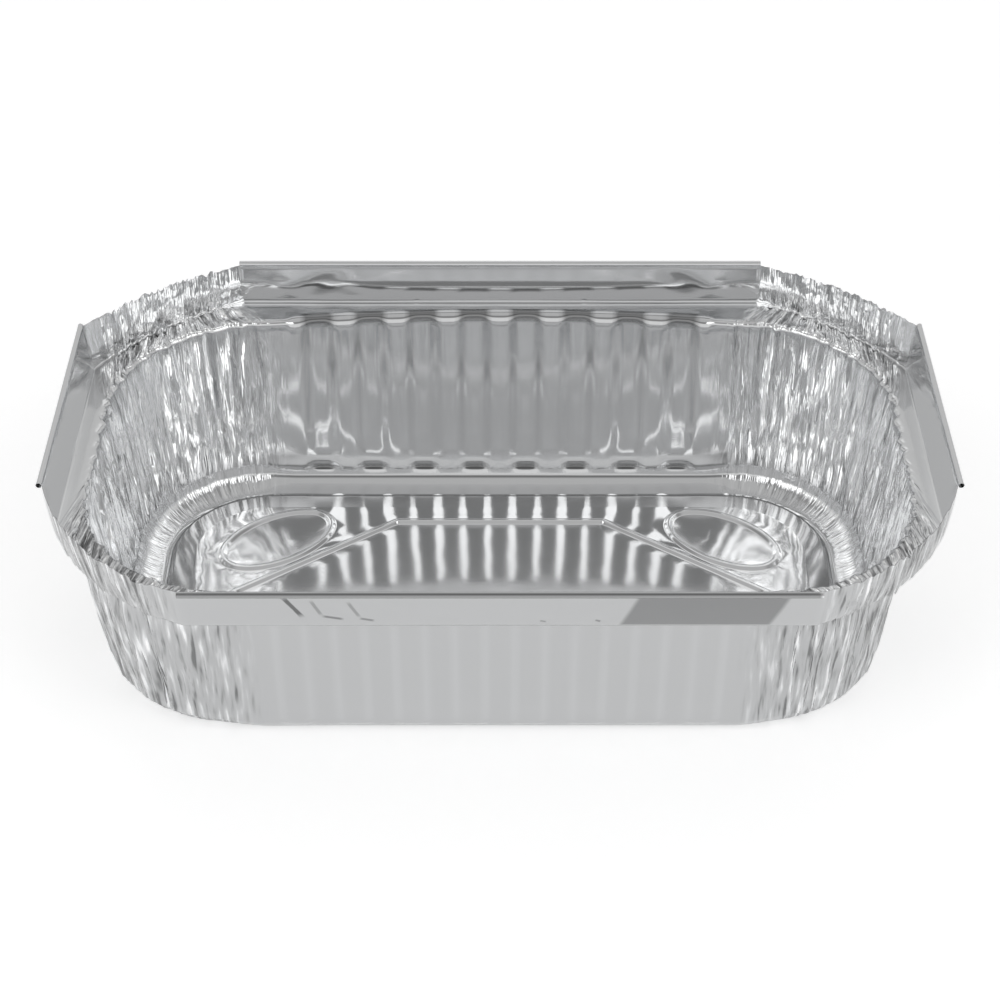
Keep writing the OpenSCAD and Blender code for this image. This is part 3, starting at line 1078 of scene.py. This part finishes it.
class Wiring:
    """Short ways to add nodes to a material, a world or a node group."""

    def __init__(self, tree: bpy.types.NodeTree) -> None:
        """Keeps the tree that the nodes go into."""
        self.tree = tree

    def add(self, kind: str, **settings: object) -> bpy.types.Node:
        """Adds a node and sets its properties."""
        node = self.tree.nodes.new(kind)
        for name, value in settings.items():
            setattr(node, name, value)
        return node

    def feed(self, socket: bpy.types.NodeSocket, value: Feed) -> None:
        """Links a socket to another one, or sets it to a plain value."""
        if isinstance(value, bpy.types.NodeSocket):
            self.tree.links.new(value, socket)
        else:
            socket.default_value = value

    def math(self, operation: str, a: Feed, b: Feed = 0.0) -> bpy.types.NodeSocket:
        """Adds a math node and returns its result."""
        node = self.add("ShaderNodeMath", operation=operation)
        self.feed(node.inputs[0], a)
        self.feed(node.inputs[1], b)
        return node.outputs[0]

    def ramp(self, value: Feed, start: float, end: float, low: Feed, high: Feed) -> bpy.types.NodeSocket:
        """Adds an eased ramp of a value.

        Args:
            value: What the ramp follows.
            start: Where the ramp leaves its low end.
            end: Where the ramp reaches its high end.
            low: Result before the start.
            high: Result after the end.

        Returns:
            The ramp's result.
        """
        node = self.add("ShaderNodeMapRange", interpolation_type="SMOOTHSTEP")
        for name, given in (
            ("Value", value), ("From Min", start), ("From Max", end), ("To Min", low), ("To Max", high),
        ):
            self.feed(node.inputs[name], given)
        return node.outputs["Result"]

    def split(self, vector: bpy.types.NodeSocket) -> list[bpy.types.NodeSocket]:
        """Adds a separate node and returns the three parts of a vector."""
        node = self.add("ShaderNodeSeparateXYZ")
        self.feed(node.inputs[0], vector)
        return list(node.outputs)

    def noise(self, vector: bpy.types.NodeSocket, scale: float, detail: float) -> bpy.types.NodeSocket:
        """Adds a flat noise texture and returns its value."""
        node = self.add("ShaderNodeTexNoise", noise_dimensions="2D")
        self.feed(node.inputs["Scale"], scale)
        self.feed(node.inputs["Detail"], detail)
        self.feed(node.inputs["Vector"], vector)
        return node.outputs["Fac"]

    def stretched(
        self, vector: bpy.types.NodeSocket, scale: tuple[float, float, float]
    ) -> bpy.types.NodeSocket:
        """Adds a mapping node that stretches coordinates.

        Args:
            vector: The coordinates.
            scale: Stretch along each axis.

        Returns:
            The stretched coordinates.
        """
        node = self.add("ShaderNodeMapping")
        self.feed(node.inputs["Scale"], scale)
        self.feed(node.inputs["Vector"], vector)
        return node.outputs["Vector"]

    def sheet_map(self, name: str) -> bpy.types.NodeSocket:
        """Adds a UV map node and returns its coordinates."""
        return self.add("ShaderNodeUVMap", uv_map=name).outputs["UV"]

    def mask(self, name: str) -> bpy.types.NodeSocket:
        """Adds an attribute node and returns its value."""
        return self.add("ShaderNodeAttribute", attribute_name=name).outputs["Fac"]

    def object_place(self) -> bpy.types.NodeSocket:
        """Adds a coordinates node and returns the place on the object."""
        return self.add("ShaderNodeTexCoord").outputs["Object"]


@dataclass(frozen=True)
class ShadeMark:
    """Painted shade on the foil, in millimetres and degrees: a dark line along a dent, or a patch standing in
    for a darker reflection.

    It is a box that is turned about the depth axis by its slant, and sheared sideways with its height.
    Its softness is the share of its half size over which it fades out.
    """

    middle: tuple[float, float, float]
    half: tuple[float, float, float]
    slant: float
    darkness: float
    softness: float = 0.5
    shear: float = 0.0

    def wire(self, wiring: Wiring, place: bpy.types.NodeSocket) -> bpy.types.NodeSocket:
        """Adds the mark to a material.

        Args:
            wiring: Where the nodes go.
            place: The place on the object, in metres.

        Returns:
            How bright the foil stays there, from 0 to 1.
        """
        frame = wiring.add("ShaderNodeMapping", vector_type="TEXTURE")
        wiring.feed(frame.inputs["Location"], tuple(v * MM for v in self.middle))
        wiring.feed(frame.inputs["Rotation"], (0.0, math.radians(self.slant), 0.0))
        wiring.feed(frame.inputs["Scale"], tuple(v * MM for v in self.half))
        wiring.feed(frame.inputs["Vector"], place)
        x, y, z = wiring.split(frame.outputs["Vector"])
        x = wiring.math("SUBTRACT", x, wiring.math("MULTIPLY", z, self.shear))
        away = [wiring.math("ABSOLUTE", axis) for axis in (x, y, z)]
        far = wiring.math("MAXIMUM", away[0], wiring.math("MAXIMUM", away[1], away[2]))
        return wiring.ramp(far, 1.0 - self.softness, 1.0, 1.0 - self.darkness, 1.0)


# Painted shade on the outside of the front upright: dark lines and spots along its dents, and a patch of
# painted reflection on its right part.
FRONT_SHADE_MARKS = (
    ShadeMark((-43.1, -60.0, 51.6), (4.6, 5.0, 0.7), 63.0, 0.7),
    ShadeMark((-38.2, -60.0, 51.3), (3.2, 5.0, 0.5), 69.0, 0.34),
    ShadeMark((-34.9, -60.0, 47.8), (2.6, 5.0, 0.5), 15.0, 0.5),
    ShadeMark((-30.4, -60.0, 50.7), (3.4, 5.0, 0.5), 68.0, 0.34),
    ShadeMark((-27.8, -60.0, 47.1), (1.8, 5.0, 0.5), 14.0, 0.45),
    ShadeMark((9.0, -60.0, 46.2), (0.8, 5.0, 0.3), 10.0, 0.35),
    ShadeMark((20.5, -60.0, 46.4), (0.7, 5.0, 0.4), 20.0, 0.4),
    ShadeMark((42.8, -60.0, 50.6), (16.4, 5.0, 5.7), 0.0, 0.47, 0.09, 0.12),
)


@dataclass(frozen=True)
class FoilFinish:
    """One face of the foil: its colour and how strongly it shows the shared pattern."""

    face: Face
    colour: tuple[float, float, float]
    roughness: float
    roughness_spread: float
    grain_depth: float
    wrinkle_depth: float
    streak_depth: float
    streak_shading: float
    shading_gain: float
    shade_marks: tuple[ShadeMark, ...] = ()

    def build(self, group: bpy.types.NodeTree) -> bpy.types.Material:
        """Makes the material of this face.

        Args:
            group: The shared pattern of rolling grain and wrinkles.

        Returns:
            The material.
        """
        material = bpy.data.materials.new(self.face.value)
        material.use_nodes = True
        wiring = Wiring(material.node_tree)
        shader = material.node_tree.nodes["Principled BSDF"]
        pattern = wiring.add("ShaderNodeGroup", node_tree=group)
        for name, value in (
            ("Roughness", self.roughness), ("Roughness Spread", self.roughness_spread),
            ("Grain Depth", self.grain_depth), ("Wrinkle Depth", self.wrinkle_depth),
            ("Streak Depth", self.streak_depth), ("Streak Shading", self.streak_shading),
            ("Shading Gain", self.shading_gain),
        ):
            wiring.feed(pattern.inputs[name], value)
        tone = pattern.outputs["Tone"]
        # Darkens the tone with the painted shade marks.
        if self.shade_marks:
            place = wiring.object_place()
            for mark in self.shade_marks:
                tone = wiring.math("MULTIPLY", tone, mark.wire(wiring, place))
        tint = wiring.add("ShaderNodeVectorMath", operation="SCALE")
        wiring.feed(tint.inputs[0], self.colour)
        wiring.feed(tint.inputs["Scale"], tone)
        held = wiring.add("ShaderNodeVectorMath", operation="MINIMUM")
        wiring.feed(held.inputs[0], tint.outputs[0])
        wiring.feed(held.inputs[1], (BRIGHTEST,) * 3)
        bump = wiring.add("ShaderNodeBump")
        wiring.feed(bump.inputs["Strength"], 1.0)
        wiring.feed(bump.inputs["Distance"], MM)
        wiring.feed(bump.inputs["Height"], pattern.outputs["Height"])
        wiring.feed(shader.inputs["Metallic"], 1.0)
        wiring.feed(shader.inputs["Base Color"], held.outputs[0])
        wiring.feed(shader.inputs["Roughness"], pattern.outputs["Roughness"])
        wiring.feed(shader.inputs["Normal"], bump.outputs["Normal"])
        return material


BRIGHT_FINISH = FoilFinish(
    face=Face.BRIGHT, colour=(0.8, 0.805, 0.81), roughness=0.1, roughness_spread=0.05,
    grain_depth=0.0015, wrinkle_depth=0.3, streak_depth=0.36, streak_shading=4.0, shading_gain=1.0,
)
MATTE_FINISH = FoilFinish(
    face=Face.MATTE, colour=(0.51, 0.515, 0.52), roughness=0.2, roughness_spread=0.06,
    grain_depth=0.0006, wrinkle_depth=0.5, streak_depth=0.8, streak_shading=17.0, shading_gain=-0.7,
    shade_marks=FRONT_SHADE_MARKS,
)


class FoilPattern:
    """Shader node group with the pattern that both faces of the foil share.

    Its scales are repeats in a metre, along and across the rolling direction or the gathered sheet.
    """

    grain_scale: tuple[float, float, float] = (60.0, 6000.0, 1.0)
    streak_scale: tuple[float, float, float] = (620.0, 70.0, 1.0)
    facet_scale: float = 420.0
    swell_scale: float = 90.0
    swell_depth: float = 0.05
    grain_detail: float = 1.0
    streak_detail: float = 2.0
    swell_detail: float = 1.0

    def __init__(self) -> None:
        """Starts an empty group with its inputs and outputs."""
        self.tree = bpy.data.node_groups.new("foil_pattern", "ShaderNodeTree")
        for name, value in (
            ("Roughness", 0.2), ("Roughness Spread", 0.05), ("Grain Depth", 0.002), ("Wrinkle Depth", 0.02),
            ("Streak Depth", 0.02), ("Streak Shading", 0.0), ("Shading Gain", 1.0),
        ):
            socket = self.tree.interface.new_socket(name=name, in_out="INPUT", socket_type="NodeSocketFloat")
            socket.default_value = value
        for name in ("Height", "Roughness", "Tone"):
            self.tree.interface.new_socket(name=name, in_out="OUTPUT", socket_type="NodeSocketFloat")

    def build(self) -> bpy.types.NodeTree:
        """Wires the rolling grain, the wrinkles, the streaks, the tone with its painted highlights and shade,
        and the roughness.

        Returns:
            The finished group.
        """
        wiring = Wiring(self.tree)
        given = wiring.add("NodeGroupInput").outputs
        put_out = wiring.add("NodeGroupOutput").inputs
        blank, gather = wiring.sheet_map(BLANK_MAP), wiring.sheet_map(GATHER_MAP)
        grain = wiring.noise(wiring.stretched(blank, self.grain_scale), 1.0, self.grain_detail)
        facets = wiring.add("ShaderNodeTexVoronoi", voronoi_dimensions="2D")
        wiring.feed(facets.inputs["Scale"], self.facet_scale)
        wiring.feed(facets.inputs["Vector"], gather)
        crumple = wiring.math("MULTIPLY", facets.outputs["Distance"], wiring.mask(CRUMPLE_MASK))
        crumple = wiring.math("MULTIPLY", crumple, given["Wrinkle Depth"])
        swing = wiring.noise(wiring.stretched(gather, self.streak_scale), 1.0, self.streak_detail)
        swing = wiring.math("SUBTRACT", swing, MIDDLE)
        gathered = wiring.mask(GATHER_MASK)
        size = wiring.math("ABSOLUTE", swing)
        # Painted highlights and painted shade along the streaks of gathered foil, over their bumps.
        strong = wiring.math("MULTIPLY", wiring.math("MULTIPLY", swing, size), gathered)
        tone = wiring.math("ADD", wiring.math("MULTIPLY", strong, given["Streak Shading"]), 1.0)
        # Painted shading from the mask, scaled by each face's gain: darker where the product is positive,
        # lighter where it is negative.
        painted_shade = wiring.math("MULTIPLY", wiring.mask(PAINTED_SHADING_MASK), given["Shading Gain"])
        tone = wiring.math("MULTIPLY", tone, wiring.math("SUBTRACT", 1.0, painted_shade))
        wiring.feed(put_out["Tone"], wiring.math("MAXIMUM", tone, DARKEST))
        streak = wiring.math("MULTIPLY", size, gathered)
        streak = wiring.math("MULTIPLY", streak, given["Streak Depth"])
        swell = wiring.noise(blank, self.swell_scale, self.swell_detail)
        swell = wiring.math("MULTIPLY", swell, self.swell_depth)
        fine = wiring.math("MULTIPLY", grain, given["Grain Depth"])
        height = wiring.math("ADD", wiring.math("ADD", crumple, streak), wiring.math("ADD", swell, fine))
        spread = wiring.math("MULTIPLY", wiring.math("SUBTRACT", grain, MIDDLE), given["Roughness Spread"])
        wiring.feed(put_out["Height"], height)
        wiring.feed(put_out["Roughness"], wiring.math("ADD", given["Roughness"], spread))
        return self.tree


@dataclass(frozen=True)
class Studio:
    """Pale floor, soft boxes to the left and right, a grey room and the camera, in metres.

    The room is a set of greys that meet in soft edges. An edge is a pair of numbers from -1 to 1, the
    part of a direction that points up, sideways or back, where one grey begins to turn and where the
    next one is reached.
    """

    floor_size: float = 8.0
    floor_white: float = 0.9
    floor_glow: float = 0.44
    floor_roughness: float = 0.9
    box_width: float = 0.5
    box_height: float = 0.7
    box_place: tuple[float, float, float] = (0.532, -0.447, 0.719)
    box_roll: float = 40.0
    box_power: float = 1.32
    room_grey: float = 0.58
    ceiling_grey: float = 0.3
    top_grey: float = 0.5
    front_low: float = 0.75
    front_dark: float = 0.25
    window_white: float = 0.85
    ceiling_edge: tuple[float, float] = (0.86, 0.94)
    wall_edge: tuple[float, float] = (0.6, 0.72)
    window_edge: tuple[float, float] = (0.28, 0.42)
    rear_wall_edge: tuple[float, float] = (0.6, 0.7)
    rear_edge: tuple[float, float] = (0.25, 0.4)
    front_ceiling_edge: tuple[float, float] = (0.86, 0.92)
    wedge_edge: tuple[float, float] = (0.16, 0.26)
    front_wall_edge: tuple[float, float] = (0.6, 0.68)
    front_edge: tuple[float, float] = (-0.2, -0.05)
    camera_distance: float = 0.52214
    camera_elevation: float = 38.5
    camera_aim_height: float = 0.03061
    focal_pixels: float = 2220.33
    frame_pixels: float = 1000.0
    sensor: float = 36.0

    def _floor(self) -> None:
        """Adds the floor, which shows white and keeps the tray's shadow."""
        bpy.ops.mesh.primitive_plane_add(size=self.floor_size)
        floor = bpy.context.object
        floor.name = "floor"
        material = bpy.data.materials.new("floor_white")
        material.use_nodes = True
        wiring = Wiring(material.node_tree)
        shader = material.node_tree.nodes["Principled BSDF"].inputs
        path = wiring.add("ShaderNodeLightPath").outputs
        seen = path["Is Camera Ray"]
        for ray in ("Is Glossy Ray", "Is Transmission Ray"):
            seen = wiring.math("MAXIMUM", seen, path[ray])
        wiring.feed(shader["Base Color"], (self.floor_white,) * 3 + (1.0,))
        wiring.feed(shader["Roughness"], self.floor_roughness)
        wiring.feed(shader["Emission Color"], WHITE)
        wiring.feed(shader["Emission Strength"], wiring.math("MULTIPLY", seen, self.floor_glow))
        floor.data.materials.append(material)

    def _world(self) -> None:
        """Fills the room: grey walls and ceiling, two windows behind, a dark wedge over the camera."""
        world = bpy.data.worlds.new("room")
        bpy.context.scene.world = world
        world.use_nodes = True
        wiring = Wiring(world.node_tree)
        x, y, z = wiring.split(wiring.add("ShaderNodeTexCoord").outputs["Generated"])
        aside = wiring.math("ABSOLUTE", x)
        ceiling = wiring.ramp(z, *self.ceiling_edge, self.ceiling_grey, self.top_grey)
        room = wiring.ramp(z, *self.wall_edge, self.room_grey, ceiling)
        window = wiring.ramp(aside, *self.window_edge, self.window_white, room)
        rear = wiring.ramp(z, *self.rear_wall_edge, self.room_grey, window)
        back = wiring.ramp(y, *self.rear_edge, room, rear)
        dark = wiring.ramp(z, *self.front_ceiling_edge, self.front_dark, self.top_grey)
        wedge = wiring.ramp(aside, *self.wedge_edge, dark, ceiling)
        front = wiring.ramp(z, *self.front_wall_edge, self.front_low, wedge)
        light = world.node_tree.nodes["Background"].inputs
        wiring.feed(light["Strength"], wiring.ramp(y, *self.front_edge, front, back))
        wiring.feed(light["Color"], WHITE)

    def _soft_boxes(self) -> None:
        """Adds a soft box high on each side of the camera."""
        left, right = -1.0, 1.0
        for way in (left, right):
            lamp = bpy.data.lights.new("soft_box", "AREA")
            lamp.shape = "RECTANGLE"
            lamp.size = self.box_width
            lamp.size_y = self.box_height
            lamp.energy = self.box_power
            box = bpy.data.objects.new("soft_box", lamp)
            bpy.context.collection.objects.link(box)
            x, y, z = self.box_place
            box.location = (way * x, y, z)
            aim = (-box.location).to_track_quat("-Z", "Y").to_matrix()
            roll = Matrix.Rotation(math.radians(way * self.box_roll), 3, "Z")
            box.rotation_euler = (aim @ roll).to_euler()

    def _camera(self) -> None:
        """Adds the camera at the photograph's distance, height and focal length."""
        e = math.radians(self.camera_elevation)
        lens = bpy.data.cameras.new("camera")
        lens.sensor_width = self.sensor
        lens.lens = self.sensor * self.focal_pixels / self.frame_pixels
        camera = bpy.data.objects.new("camera", lens)
        bpy.context.collection.objects.link(camera)
        middle = TraySizes().centring * MM
        back = self.camera_distance * math.cos(e)
        camera.location = (0.0, middle - back, self.camera_aim_height + self.camera_distance * math.sin(e))
        camera.rotation_euler = (math.radians(90.0) - e, 0.0, 0.0)
        bpy.context.scene.camera = camera

    def build(self) -> None:
        """Sets up the whole studio."""
        self._floor()
        self._world()
        self._soft_boxes()
        self._camera()
        bpy.context.scene.view_settings.view_transform = "Standard"


def main() -> None:
    """Builds the studio and the tray, and dresses the tray."""
    logging.basicConfig(level=logging.INFO, format="%(name)s: %(message)s")
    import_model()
    Studio().build()
    design = FoilTray()
    tray = design.build()
    pattern = FoilPattern().build()
    for finish in (BRIGHT_FINISH, MATTE_FINISH):
        tray.data.materials.append(finish.build(pattern))
    bpy.ops.object.select_all(action="DESELECT")
    tray.select_set(True)
    bpy.context.view_layer.objects.active = tray
    bpy.ops.object.modifier_apply(modifier="gauge")
    bpy.ops.object.shade_smooth_by_angle(angle=math.radians(design.smooth_angle))
    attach(tray, "root")
    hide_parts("tray")
    LOG.info("%s: %d triangles", tray.name, sum(len(p.vertices) - 2 for p in tray.data.polygons))


if __name__ == "__main__":
    main()
